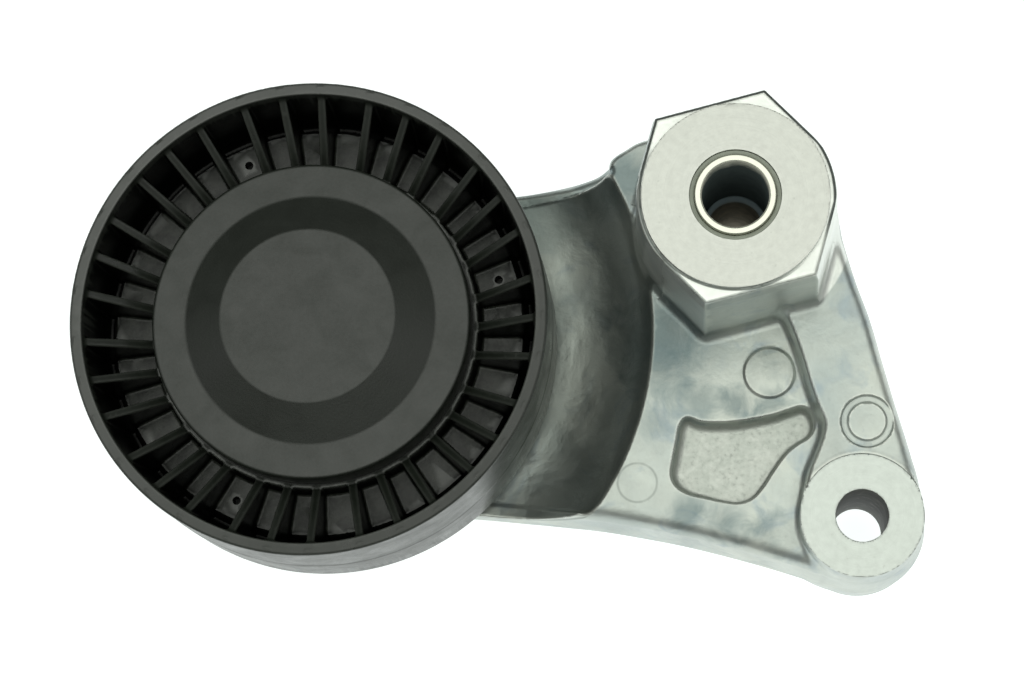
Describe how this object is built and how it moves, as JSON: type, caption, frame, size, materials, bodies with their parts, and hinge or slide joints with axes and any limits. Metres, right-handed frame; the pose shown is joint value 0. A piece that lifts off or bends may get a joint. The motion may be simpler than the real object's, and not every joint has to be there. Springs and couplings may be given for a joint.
{
  "type": "belt tensioner idler",
  "caption": "Swinging die-cast lever with a hexagonal pivot boss and a strut eye, carrying a ribbed plastic pulley on a sealed ball bearing that presses on a drive belt.",
  "frame": {"origin": "on the pivot axis, at the rear mounting plane where the pivot sleeve meets the engine", "axes": "+Z along the pivot axis towards the front of the pulley, -X towards the pulley, -Y towards the strut eye"},
  "size_m": [0.1257, 0.0723, 0.0423],
  "materials": {
    "cast_aluminium": "die-cast skin with machined faces",
    "turned_steel": "fine turned",
    "bush_bronze": "dry bearing liner",
    "seal_grey": "matt",
    "pulley_plastic": "moulded, satin on the belt surface",
    "cap_plastic": "fine eroded texture",
    "bearing_steel": "ground",
    "ball_steel": "polished",
    "cage_steel": "pressed sheet",
    "seal_rubber": "moulded, matt",
    "bolt_steel": "black phosphate",
    "shield_steel": "zinc plated"
  },
  "bodies": {
    "pivot": {"pivot_sleeve": "turned_steel"},
    "lever": {"lever_casting": "cast_aluminium", "pivot_bush_front": "bush_bronze", "pivot_bush_rear": "bush_bronze", "pivot_seal_front": "seal_grey", "pivot_seal_rear": "seal_grey", "bearing_inner_ring": "bearing_steel", "clamp_washer": "turned_steel", "pulley_bolt": "bolt_steel", "thread_insert": "turned_steel", "rear_dust_shield": "shield_steel"},
    "pulley": {"pulley_body": "pulley_plastic", "bearing_outer_ring": "bearing_steel", "bearing_seal_front": "seal_rubber", "bearing_seal_rear": "seal_rubber", "seal_stiffener_front": "cage_steel", "seal_stiffener_rear": "cage_steel", "dust_cap": "cap_plastic"},
    "cage": {"bearing_balls": "ball_steel", "cage_half_front": "cage_steel", "cage_half_rear": "cage_steel", "cage_rivets": "cage_steel"}
  },
  "joints": [
    {"name": "lever_pivot", "type": "hinge", "parent": "pivot", "child": "lever", "pos_m": [0, 0, 0.021], "axis": [0, 0, 1], "range_deg": [-15, 15]},
    {"name": "pulley_spin", "type": "hinge", "parent": "lever", "child": "pulley", "pos_m": [-0.0622, -0.0174, 0.0265], "axis": [0, 0, 1], "continuous": true},
    {"name": "cage_spin", "type": "hinge", "parent": "lever", "child": "cage", "pos_m": [-0.0622, -0.0174, 0.0265], "axis": [0, 0, 1], "continuous": true}
  ],
  "couplings": [
    {"joint": "cage_spin", "follows": "pulley_spin", "ratio": 0.6184}
  ]
}
